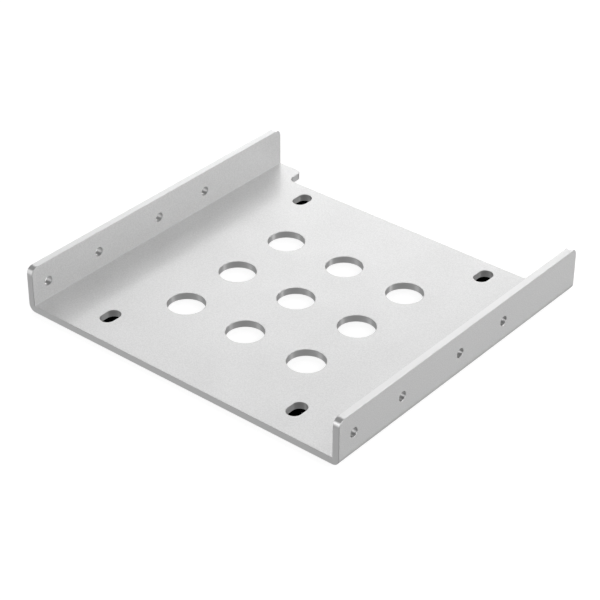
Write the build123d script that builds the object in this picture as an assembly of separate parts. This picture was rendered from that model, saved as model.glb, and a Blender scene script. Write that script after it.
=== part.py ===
from build123d import *
from build123d.topology import topo_explore_connected_faces
import os

# Drive bay adapter bracket: one aluminium sheet folded up into a shallow tray with two side flanges.
# A small drive lies on the plate between the flanges, and the flanges are screwed into a larger drive's bay.
# Sizes are in millimetres. +X runs from the left flange to the right one, +Y from the straight front edge to
# the notched rear edge, and +Z up. The origin is on the underside, at the middle of the width and the length.

# The folded sheet
width = 102.0  # over both flanges
length = 98.0  # front edge to the rear ends of the flanges
height = 13.0  # underside to the flanges' top edges
sheet = 2.0  # thickness of the aluminium
inner_bend_radius = 0.1  # a tight fold, pressed home in the die
flange_corner_radius = 2.0  # the upper corners of the flanges
edge_break = 0.12  # the bevel that deburring leaves on every sharp edge

# The notch in the rear edge, which leaves room for the drive's connectors
notch_depth = 6.0
tab_width = 10.0  # what the notch leaves of the plate, from a flange's outer face
tab_corner_radius = 2.0
notch_corner_radius = 2.0

# The grid of vent holes
vent_diameter = 10.0
vent_pitch = 20.0
vent_columns = 3
vent_rows = 3
first_vent_row = 26.0  # front edge to the first row's centres

# The slots for the screws that go up into the small drive
slot_width = 4.0
slot_length = 6.0  # end to end, along the bracket's length
slot_spacing_across = 61.72
slot_spacing_along = 76.6
first_slot_row = 9.25  # front edge to the front slots' centres

# The tapped holes for the screws that come in through the bay's walls
tap_diameter = 2.5  # core of an M3 thread
bay_hole_height = 7.0  # above the underside
first_bay_hole = 5.5  # front edge to the first hole's axis
short_bay_spacing = 41.6
long_bay_spacing = 60.0

smooth_angle = 20.0  # degrees: faces that meet at less than this run on smoothly


def from_front(distance):
    """The Y of what lies this far behind the front edge."""
    return distance - length / 2


def folded_sheet():
    """The sheet after folding: the inner skin's line, thickened outwards so that the bends stay as thick."""
    inner_half_width = width / 2 - sheet
    inner_skin = FilletPolyline(
        (-inner_half_width, height),
        (-inner_half_width, sheet),
        (inner_half_width, sheet),
        (inner_half_width, height),
        radius=inner_bend_radius,
    )
    outline = inner_skin.wire().offset_2d(sheet, side=Side.RIGHT, closed=True)
    section = Plane.XZ * make_face(outline)
    return extrude(section, length / 2, both=True)


def round_flange_corners(bracket):
    """Rounds the front and rear upper corners of both flanges."""
    top_edges = bracket.edges().group_by(Axis.Z)[-1]
    return fillet(top_edges.filter_by(Axis.X), flange_corner_radius)


def cut_notch(bracket):
    """Cuts the rear edge back between the two tabs, and rounds the notch's corners and the tabs' corners."""
    notch_width = width - 2 * tab_width
    opening = Pos(0, length / 2 - notch_depth) * Rectangle(
        notch_width, 2 * notch_depth, align=(Align.CENTER, Align.MIN)
    )
    opening = fillet(opening.vertices().group_by(Axis.Y)[0], notch_corner_radius)
    bracket -= extrude(opening, 2 * sheet, both=True)
    rear_ends = bracket.edges().filter_by(Axis.Z).group_by(Axis.Y)[-1]
    tab_corners = rear_ends.sort_by(lambda edge: abs(edge.center().X))[:2]
    return fillet(tab_corners, tab_corner_radius)


def through_plate(outline, middle, grid):
    """Cutters of one outline through the plate, on a grid whose middle is this far behind the front edge."""
    cutter = extrude(outline, 2 * sheet, both=True)
    return [Pos(0, from_front(middle), 0) * place * cutter for place in grid]


def vent_holes():
    """The grid of round vents."""
    middle = first_vent_row + (vent_rows - 1) * vent_pitch / 2
    grid = GridLocations(vent_pitch, vent_pitch, vent_columns, vent_rows)
    return through_plate(Circle(vent_diameter / 2), middle, grid)


def drive_slots():
    """Four slots on the small drive's screw pattern, long enough to slide the drive to its connectors."""
    middle = first_slot_row + slot_spacing_along / 2
    grid = GridLocations(slot_spacing_across, slot_spacing_along, x_count=2, y_count=2)
    return through_plate(SlotOverall(slot_length, slot_width, rotation=90), middle, grid)


def bay_holes():
    """Four holes along both flanges: any two that are a bay's screw spacing apart hold the bracket."""
    last_bay_hole = first_bay_hole + long_bay_spacing
    distances = (
        first_bay_hole,
        last_bay_hole - short_bay_spacing,
        first_bay_hole + short_bay_spacing,
        last_bay_hole,
    )
    across = Cylinder(tap_diameter / 2, width + 2 * sheet, rotation=(0, 90, 0))
    return [Pos(0, from_front(distance), bay_hole_height) * across for distance in distances]


def is_sharp(edge, bracket):
    """Whether the faces along an edge meet at an angle, unlike those along the seam of a bend or a fillet."""
    middle = edge.position_at(0.5)
    normals = [Face(face).normal_at(middle) for face in topo_explore_connected_faces(edge, bracket)]
    return normals[0].get_angle(normals[-1]) > smooth_angle


def deburr(bracket):
    """Breaks every sharp edge, so that each cut meets the skins in a fine bevel."""
    return chamfer([edge for edge in bracket.edges() if is_sharp(edge, bracket)], edge_break)


def make_bracket():
    bracket = round_flange_corners(folded_sheet())
    bracket = cut_notch(bracket)
    bracket -= vent_holes()
    bracket -= drive_slots()
    bracket -= bay_holes()
    return deburr(bracket)


os.makedirs("parts", exist_ok=True)
export_step(make_bracket(), "parts/bracket.step")
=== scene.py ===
# %% [markdown]
# # A folded aluminium drive bracket, dressed for its picture
# The real object is one piece of 2 mm aluminium sheet: cut, drilled, folded up at both sides,
# blasted and anodised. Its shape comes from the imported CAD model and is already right, so nothing
# is modelled again here: this lesson is about the finish, the light and the camera. Its box is
# measured first, because the finish needs the bracket's own size, and because the dressed model has
# to stay as big as the plain one.

# %% Load the bracket and keep its box
import math

import bmesh
import bpy
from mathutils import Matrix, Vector


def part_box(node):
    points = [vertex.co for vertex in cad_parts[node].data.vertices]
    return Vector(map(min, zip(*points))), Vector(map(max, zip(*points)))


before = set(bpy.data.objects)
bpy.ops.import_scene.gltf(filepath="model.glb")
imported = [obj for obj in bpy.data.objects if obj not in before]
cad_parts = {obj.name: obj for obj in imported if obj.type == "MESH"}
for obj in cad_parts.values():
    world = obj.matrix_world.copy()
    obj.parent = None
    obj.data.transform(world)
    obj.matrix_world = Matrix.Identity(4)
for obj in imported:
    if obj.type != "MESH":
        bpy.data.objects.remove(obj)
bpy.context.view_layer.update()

millimetre = 0.001
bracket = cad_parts["bracket"]
lowest, highest = (Vector(corner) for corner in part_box("bracket"))
size = highest - lowest
print("bracket:", [round(side / millimetre, 2) for side in size], "mm")

# %% [markdown]
# ## Telling the sheet's skins from its cut faces
# A folded sheet has two kinds of surface. Its two skins were blasted all over with fine beads,
# which leaves them dull. The faces that were cut through its thickness, which are the outline, the
# rounded corners and the holes, keep some of the cutter's smoothness and show crisper bands of
# light and dark. Those faces could be picked by hand and given a second material, but a CAD node
# keeps its mesh as it came, so here the shader finds them itself. A skin lies half a thickness from
# the middle of the folded sheet, and whatever lies nearer to the middle was cut. In the plate and
# the flanges that distance is a plain height or width, and in the bends it is a radius: one
# "greater of this and nothing" in each direction covers all three.

# %% Helpers that join shader nodes
def add_node(tree, kind, **inputs):
    """Adds a shader node and sets its sockets by name."""
    node = tree.nodes.new(kind)
    for name, value in inputs.items():
        node.inputs[name.replace("_", " ")].default_value = value
    return node


def math_node(tree, kind, operation, *values):
    """Adds a math node, and links or sets its inputs in their order."""
    node = tree.nodes.new(kind)
    node.operation = operation
    for socket, value in zip(node.inputs, values):
        if isinstance(value, bpy.types.NodeSocket):
            tree.links.new(value, socket)
        else:
            socket.default_value = value
    return node


def numbers(tree, operation, *values):
    """Works out one number from others."""
    return math_node(tree, "ShaderNodeMath", operation, *values).outputs["Value"]


def vectors(tree, operation, *values, result="Vector"):
    """Works out a vector from others, or their "Value" where the result is a number."""
    return math_node(tree, "ShaderNodeVectorMath", operation, *values).outputs[result]


def scaled(tree, value, low, high, from_low=0.0, from_high=1.0):
    """Maps a number from one range to another, and keeps it inside."""
    mapped = add_node(
        tree, "ShaderNodeMapRange", From_Min=from_low, From_Max=from_high, To_Min=low, To_Max=high
    )
    tree.links.new(value, mapped.inputs["Value"])
    return mapped.outputs["Result"]


# %% Find the cut faces
sheet = 2 * millimetre
inner_bend_radius = 0.1 * millimetre
bend_centre_x = size.x / 2 - sheet - inner_bend_radius
bend_centre_z = sheet + inner_bend_radius
skin_depth = sheet / 2
cut_starts = 0.97 * skin_depth
cut_is_full = 0.90 * skin_depth


def cut_mask(tree, place):
    """0 on both skins of the folded sheet, and 1 on every face cut through its thickness."""
    sideways = numbers(tree, "ABSOLUTE", place.outputs["X"])
    outside = numbers(tree, "SUBTRACT", sideways, bend_centre_x)
    below = numbers(tree, "SUBTRACT", bend_centre_z, place.outputs["Z"])
    past_bend = add_node(tree, "ShaderNodeCombineXYZ")
    tree.links.new(outside, past_bend.inputs["X"])
    tree.links.new(below, past_bend.inputs["Y"])
    outwards = vectors(tree, "MAXIMUM", past_bend.outputs["Vector"], (0, 0, 0))
    reach = vectors(tree, "LENGTH", outwards, result="Value")
    off_middle = numbers(tree, "SUBTRACT", reach, inner_bend_radius + skin_depth)
    depth = numbers(tree, "ABSOLUTE", off_middle)
    return scaled(tree, depth, 0.0, 1.0, cut_starts, cut_is_full)


print("outer bend radius:", round((sheet + inner_bend_radius) / millimetre, 2), "mm")

# %% [markdown]
# ## Rims, bores and slots
# Not every cut face looks the same. The beads reached the flat top edges of the flanges squarely,
# so they are as dull as the skins, and their grey is a little lighter as a painted highlight, for
# the light that falls on their open tops. The walls of the small 2.5 mm holes through the flanges
# are the opposite: their darker grey is painted shade inside the holes. The walls of the four slots
# are dark in the picture too, most likely because they mirror the black below them. The metal here
# doesn't mirror the table, so a darker grey stands in for that, as a painted reflection. Three more
# materials would need their faces picked by hand, so these places are found by measuring as well. A
# rim is the last few hundredths of a millimetre of the height. A bore is a cut face at the height
# of the side holes, away from the sheet's two ends.
# A slot's wall is a cut face near the middle of a slot, and as the four slots are mirror images,
# folding the plate over twice leaves one slot to measure from.

# %% Find the rims, the bores and the slots
rim_starts = highest.z - 0.01 * millimetre
rim_is_past = highest.z - 0.05 * millimetre
side_hole_height = 7 * millimetre
side_hole_reach = 1.4 * millimetre
end_margin = 0.5 * millimetre
slot_across = 30.86 * millimetre
slot_along = 38.3 * millimetre
slots_middle_y = -1.45 * millimetre
slot_reach = 4.5 * millimetre


def below_rim(tree, place):
    """0 on the flanges' flat top edges, and 1 below them."""
    return scaled(tree, place.outputs["Z"], 0.0, 1.0, rim_starts, rim_is_past)


def bore_mask(tree, place, cut):
    """1 on the walls of the holes through the flanges, and 0 elsewhere."""
    above = numbers(tree, "SUBTRACT", place.outputs["Z"], side_hole_height)
    near_axis = numbers(tree, "LESS_THAN", numbers(tree, "ABSOLUTE", above), side_hole_reach)
    along = numbers(tree, "ABSOLUTE", place.outputs["Y"])
    off_ends = numbers(tree, "LESS_THAN", along, size.y / 2 - end_margin)
    return numbers(tree, "MULTIPLY", numbers(tree, "MULTIPLY", near_axis, off_ends), cut)


def from_slots(tree, coordinates):
    """How far it is to the middle of the nearest slot."""
    moved = vectors(tree, "SUBTRACT", coordinates.outputs["Object"], (0, slots_middle_y, 0))
    folded = vectors(tree, "ABSOLUTE", moved)
    return vectors(tree, "DISTANCE", folded, (slot_across, slot_along, 0), result="Value")


def slot_mask(tree, coordinates, cut):
    """1 on the walls of the four slots, and 0 elsewhere."""
    near_slot = numbers(tree, "LESS_THAN", from_slots(tree, coordinates), slot_reach)
    return numbers(tree, "MULTIPLY", near_slot, cut)


print("rims at", round(highest.z / millimetre, 2), "mm")
print("bores at", round(side_hole_height / millimetre, 2), "mm")

# %% [markdown]
# ## The grain of the blasted skin
# Beads leave shallow dents a few tenths of a millimetre across, and no blast is perfectly even, so
# the sheen drifts a little over every centimetre or so. A photograph of blasted metal could be
# wrapped round the part, but it would stretch in the bends. Noise on the object's own coordinates
# has the same grain everywhere, at a size given in metres. Nearly all of a noise's values lie near
# its middle, so the middle is what gets spread over the range.

# %% Noise for the grain
speckle_size = 0.3 * millimetre
speckle_detail = 2.0
mottle_size = 12 * millimetre
mottle_detail = 1.0
noise_middle = (0.3, 0.7)


def grain(tree, coordinates, grain_size, detail):
    """Noise whose lumps are about grain_size across, in metres."""
    noise = add_node(tree, "ShaderNodeTexNoise", Scale=1 / grain_size, Detail=detail)
    tree.links.new(coordinates.outputs["Object"], noise.inputs["Vector"])
    return noise.outputs["Fac"]


print("speckle:", round(speckle_size / millimetre, 2), "mm")
print("mottle:", round(mottle_size / millimetre, 2), "mm")

# %% [markdown]
# ## The metal's colour
# Aluminium mirrors about nine tenths of the light, and a clear anodised film with its dents traps
# some of that. The grey of the skins carries the speckle: each dent is a few hundredths lighter or
# darker than its neighbour. Cut faces are plainer and lighter. The rims are lighter still as a
# painted highlight, the bores darker as painted shade, and the slots darker as a painted reflection
# of the black below them. The five greys are laid over one another like coats of paint, each
# through its own mask.

# %% Colours of the skins, cut faces, rims, bores and slots
skin_grey = 0.77
speckle_depth = 0.06
cut_grey = 0.80
# The rims' lighter grey is a painted highlight.
rim_painted_highlight_grey = 0.84
# The bores' darker grey is painted shade inside the holes.
bore_painted_shade_grey = 0.55
# The slots' darker grey is a painted reflection of the black below them.
slot_painted_reflection_grey = 0.42


def toned(tree, share, colour, grey):
    """Turns a colour into one plain grey where the share is 1."""
    mixed = add_node(tree, "ShaderNodeMixRGB", Color2=(grey, grey, grey, 1))
    tree.links.new(share, mixed.inputs["Fac"])
    tree.links.new(colour, mixed.inputs["Color1"])
    return mixed.outputs["Color"]


def metal_colour(tree, speckle, cut, milled, bores, slots):
    """The colour of the metal: speckled skins and cut faces, then a painted highlight on the rims,
    painted shade in the bores and a painted reflection in the slots.
    """
    darkest, lightest = skin_grey * (1 - speckle_depth), skin_grey * (1 + speckle_depth)
    skin = scaled(tree, speckle, darkest, lightest, *noise_middle)
    # Over the cut faces come a painted highlight on the rims, painted shade in the bores and a
    # painted reflection in the slots.
    rims = numbers(tree, "SUBTRACT", cut, milled)
    edges = toned(tree, rims, toned(tree, cut, skin, cut_grey), rim_painted_highlight_grey)
    return toned(tree, slots, toned(tree, bores, edges, bore_painted_shade_grey), slot_painted_reflection_grey)


print("greys:", skin_grey, cut_grey, rim_painted_highlight_grey, bore_painted_shade_grey, slot_painted_reflection_grey)

# %% [markdown]
# ## The metal's sheen
# What tells metal from grey paint is how it blurs what it mirrors. The plate shows a dark soft band
# beside the left flange, which is the flange's own reflection. Its wide, soft edge gives the
# blasted skin's roughness away, and the crisp bands on the rounded corners give away the smoother
# cut faces. One roughness for the whole sheet would be simpler, but it would lose either the band
# or the corners, so the mask of the cut faces chooses between two. The slow mottle moves the skins'
# roughness a little up and down.

# %% Roughness of the skins and of the cut faces
skin_roughness = 0.65
mottle_depth = 0.012
cut_roughness = 0.28


def metal_roughness(tree, coordinates, milled):
    """The roughness of the metal under its film."""
    mottle = grain(tree, coordinates, mottle_size, mottle_detail)
    smoothest, roughest = skin_roughness - mottle_depth, skin_roughness + mottle_depth
    skin = scaled(tree, mottle, smoothest, roughest, *noise_middle)
    rough = add_node(tree, "ShaderNodeMapRange", To_Max=cut_roughness)
    tree.links.new(milled, rough.inputs["Value"])
    tree.links.new(skin, rough.inputs["To Min"])
    return rough.outputs["Result"]


print("roughness:", skin_roughness, "on the skins,", cut_roughness, "on the cut faces")

# %% [markdown]
# ## The dents
# Real dents could be modelled, but at a third of a millimetre across there would be more than a
# hundred thousand of them. A bump from the same noise as the speckle tilts the light in each dent
# instead, so that a dent's tone and its shading agree. On the cut faces it is much weaker.

# %% Bump of the skins and of the cut faces
dent_depth = 0.016 * millimetre
skin_dents = 0.3
cut_dents = 0.05


def metal_dents(tree, speckle, milled):
    """The tilt of the surface in each dent."""
    dents = add_node(tree, "ShaderNodeBump", Distance=dent_depth)
    tree.links.new(scaled(tree, milled, skin_dents, cut_dents), dents.inputs["Strength"])
    tree.links.new(speckle, dents.inputs["Height"])
    return dents.outputs["Normal"]


print("dents:", round(dent_depth / millimetre, 3), "mm deep at most")

# %% [markdown]
# ## Metal under a clear film
# The anodised film mirrors a little light of its own from its outer face, and far more at a low
# angle. It is smoother than the metal below it. So the shader has two lobes: a dull metal, and a
# clear coat over it with its own roughness. One lobe alone can't do it: a roughness that suits the
# plate's soft band makes the flanges too dark. Values that are the same all over are set on the
# shader's own sockets, so that the exported model keeps them.

# %% Put the finish together and give it to the bracket
film_roughness = 0.2
film_ior = 1.6


def blasted_aluminium():
    """Dull blasted skins and smoother cut faces, all under one clear film."""
    material = bpy.data.materials.new("blasted_aluminium")
    material.use_nodes = True
    tree = material.node_tree
    shader = tree.nodes["Principled BSDF"]
    shader.inputs["Metallic"].default_value = 1.0
    shader.inputs["Coat Weight"].default_value = 1.0
    shader.inputs["Coat Roughness"].default_value = film_roughness
    shader.inputs["Coat IOR"].default_value = film_ior
    coordinates = add_node(tree, "ShaderNodeTexCoord")
    place = add_node(tree, "ShaderNodeSeparateXYZ")
    tree.links.new(coordinates.outputs["Object"], place.inputs["Vector"])
    cut = cut_mask(tree, place)
    milled = numbers(tree, "MULTIPLY", cut, below_rim(tree, place))
    speckle = grain(tree, coordinates, speckle_size, speckle_detail)
    bores, slots = bore_mask(tree, place, cut), slot_mask(tree, coordinates, cut)
    colour = metal_colour(tree, speckle, cut, milled, bores, slots)
    dents = metal_dents(tree, speckle, milled)
    tree.links.new(colour, shader.inputs["Base Color"])
    tree.links.new(metal_roughness(tree, coordinates, milled), shader.inputs["Roughness"])
    tree.links.new(dents, shader.inputs["Normal"])
    tree.links.new(dents, shader.inputs["Coat Normal"])
    return material


finish = blasted_aluminium()
for material_slot in bracket.material_slots:
    material_slot.material = finish
print("finish:", finish.name, "on", len(bracket.material_slots), "slot")

# %% [markdown]
# ## A table lit from within
# The bracket lies on plain white with hardly a shadow, as on a photographer's light table. A white
# sheet under strong lamps would do that too, but the same lamps would then burn out the metal. So
# the table glows by itself, and a low wall of the same paper closes it all round, for the views
# from a low angle. The glow would also fill every reflection, so the metal doesn't see it. Under
# the four slots the picture is black, and there the table gets small round black spots of painted
# shade, which nothing else shows.

# %% Paper with spots of painted shade under the slots
white = (1, 1, 1, 1)
paper_grey = 0.3
paper_glow = 0.80
# Black spots of painted shade lie on the table under the slots.
slot_shade_spot_radius = 4.5 * millimetre


def paper():
    """Glowing pale paper with four black spots of painted shade on it, under the slots."""
    material = bpy.data.materials.new("floor_paper")
    material.use_nodes = True
    tree = material.node_tree
    shader = tree.nodes["Principled BSDF"]
    shader.inputs["Roughness"].default_value = 1.0
    shader.inputs["Specular IOR Level"].default_value = 0.0
    shader.inputs["Emission Color"].default_value = white
    coordinates = add_node(tree, "ShaderNodeTexCoord")
    outside_shade_spots = numbers(tree, "GREATER_THAN", from_slots(tree, coordinates), slot_shade_spot_radius)
    tree.links.new(numbers(tree, "MULTIPLY", outside_shade_spots, paper_grey), shader.inputs["Base Color"])
    tree.links.new(numbers(tree, "MULTIPLY", outside_shade_spots, paper_glow), shader.inputs["Emission Strength"])
    return material


# The black spots under the slots are painted shade.
print("felt:", round(2 * slot_shade_spot_radius / millimetre, 2), "mm across")

# %% Table with a low wall round it
floor_radius = 3.0
wall_height = 3.0
round_steps = 64


def light_table():
    """A wide round table with a wall at its edge, which isn't part of the object."""
    made = bmesh.new()
    bmesh.ops.create_circle(made, cap_ends=True, segments=round_steps, radius=floor_radius)
    rim = [edge for edge in made.edges if edge.is_boundary]
    wall = bmesh.ops.extrude_edge_only(made, edges=rim)["geom"]
    raised = [part for part in wall if isinstance(part, bmesh.types.BMVert)]
    bmesh.ops.translate(made, vec=(0, 0, wall_height), verts=raised)
    mesh = bpy.data.meshes.new("floor")
    made.to_mesh(mesh)
    made.free()
    mesh.materials.append(paper())
    floor = bpy.data.objects.new("floor", mesh)
    bpy.context.scene.collection.objects.link(floor)
    floor.visible_glossy = False
    floor.visible_shadow = False
    return floor


floor = light_table()
print("floor:", 2 * floor_radius, "m across,", len(floor.data.polygons), "faces")

# %% [markdown]
# ## Soft round lamps in a grey room
# Metal shows its surroundings. A picture of a studio could be wrapped round the scene, but then its
# lamps couldn't be moved one by one, so real lamps are placed by asking what each face mirrors. The
# camera looks from the front right and above. The plate and the rims mirror what is at the back
# left, the left flange's inner face and the right flange's outer face mirror the back right, and
# the front edges mirror the front left, from below. Every lamp is a soft disc at the same distance,
# so one number per lamp, its brightness in a mirror, sets them all: a disc's brightness is its
# power over pi and its area, and the helper works backwards from that. Only the main one at the
# back is wider, which helps to keep the rims evenly bright from end to end. The lamps below the
# table shine through it. Between the lamps is a plain grey room, a little darker below the front
# right, where the far walls of the holes look, as if something dark stood beside the camera.

# %% Helpers that place a lamp
middle = Vector((0, 0, 5 * millimetre))
lamp_distance = 1.2
lamp_radius = 0.31
wide_lamp_radius = 0.42


def toward(azimuth, elevation):
    """The direction so many degrees round from the front, by way of the right, and so high."""
    turn, rise = math.radians(azimuth), math.radians(elevation)
    level = math.cos(rise)
    return Vector((math.sin(turn) * level, -math.cos(turn) * level, math.sin(rise)))


def round_lamp(name, azimuth, elevation, brightness, radius=lamp_radius):
    """A soft round lamp that faces the bracket; brightness is what a mirror would show of it."""
    light = bpy.data.lights.new(name, "AREA")
    light.shape = "DISK"
    light.size = 2 * radius
    disc_area = math.pi * radius ** 2
    light.energy = brightness * math.pi * disc_area
    lamp = bpy.data.objects.new(name, light)
    direction = toward(azimuth, elevation)
    lamp.location = middle + lamp_distance * direction
    lamp.rotation_euler = direction.to_track_quat("Z", "Y").to_euler()
    lamp.visible_camera = False
    bpy.context.scene.collection.objects.link(lamp)
    return lamp


print("lamps:", 2 * lamp_radius, "and", 2 * wide_lamp_radius, "m across,", lamp_distance, "m away")

# %% Lamps and room
lamps = (
    ("right_front_lamp", 70, 10, 1.41),
    ("right_lamp", 100, 10, 2.30),
    ("right_back_lamp", 130, 10, 3.50),
    ("right_back_middle_lamp", 140, 30, 0.32),
    ("right_back_high_lamp", 140, 60, 0.75),
    ("right_back_under_lamp", 129, -20, 0.53),
    ("back_low_lamp", 205, 9, 1.38),
    ("back_left_low_lamp", 220, 10, 0.62),
    ("back_left_high_lamp", 220, 38, 1.06),
    ("front_left_under_lamp", 315, -42, 0.18),
    ("front_left_low_lamp", 322, -8, 0.50),
    ("front_left_lamp", 325, 20, 0.66),
    ("front_lamp", 340, 10, 0.63),
)
for row in lamps:
    round_lamp(*row)
round_lamp("wide_back_lamp", 212, 30, 0.94, wide_lamp_radius)

room_grey = 0.305
dark_side = toward(50, -30)
dark_share = 0.16
dark_sharpness = 6


def grey_room():
    """A plain grey room with one soft dark side, below the front right."""
    world = bpy.data.worlds.new("room")
    world.use_nodes = True
    tree = world.node_tree
    coordinates = add_node(tree, "ShaderNodeTexCoord")
    looking = coordinates.outputs["Generated"]
    facing = vectors(tree, "DOT_PRODUCT", looking, dark_side, result="Value")
    fading = numbers(tree, "POWER", numbers(tree, "MAXIMUM", facing, 0.0), dark_sharpness)
    background = tree.nodes["Background"]
    background.inputs["Color"].default_value = white
    darkest = room_grey * (1 - dark_share)
    tree.links.new(scaled(tree, fading, room_grey, darkest), background.inputs["Strength"])
    return world


bpy.context.scene.world = grey_room()
bpy.context.scene.view_settings.view_transform = "Standard"
print("lamps:", len(lamps) + 1)

# %% [markdown]
# ## The camera
# The picture was taken from the front right, about a third of a right angle up, with a long lens:
# the bracket's far edges are hardly shorter than the near ones. A camera could be placed by eye,
# but then the holes would drift off the picture's. Place, aim and lens were worked out together
# from the bracket's holes and corners instead. The small shift moves the frame without turning the
# view, as when a picture is cropped.

# %% Camera
camera_place = Vector((0.26937, -0.32843, 0.27886))
camera_aim = Vector((-0.00480, -0.00259, 0.0))
picture_width = 600
focal_pixels = 1956.1
shift_right = 0.0287
shift_up = -0.0041
sensor_width = 36


def photo_camera():
    """A long lens from the front right and above."""
    data = bpy.data.cameras.new("camera")
    data.sensor_width = sensor_width
    data.lens = focal_pixels / picture_width * sensor_width
    data.shift_x = shift_right
    data.shift_y = shift_up
    camera = bpy.data.objects.new("camera", data)
    camera.location = camera_place
    camera.rotation_euler = (camera_aim - camera_place).to_track_quat("-Z", "Y").to_euler()
    bpy.context.scene.collection.objects.link(camera)
    return camera


bpy.context.scene.camera = photo_camera()
lens = bpy.context.scene.camera.data.lens
print("lens:", round(lens, 1), "mm on a sensor", sensor_width, "mm wide")
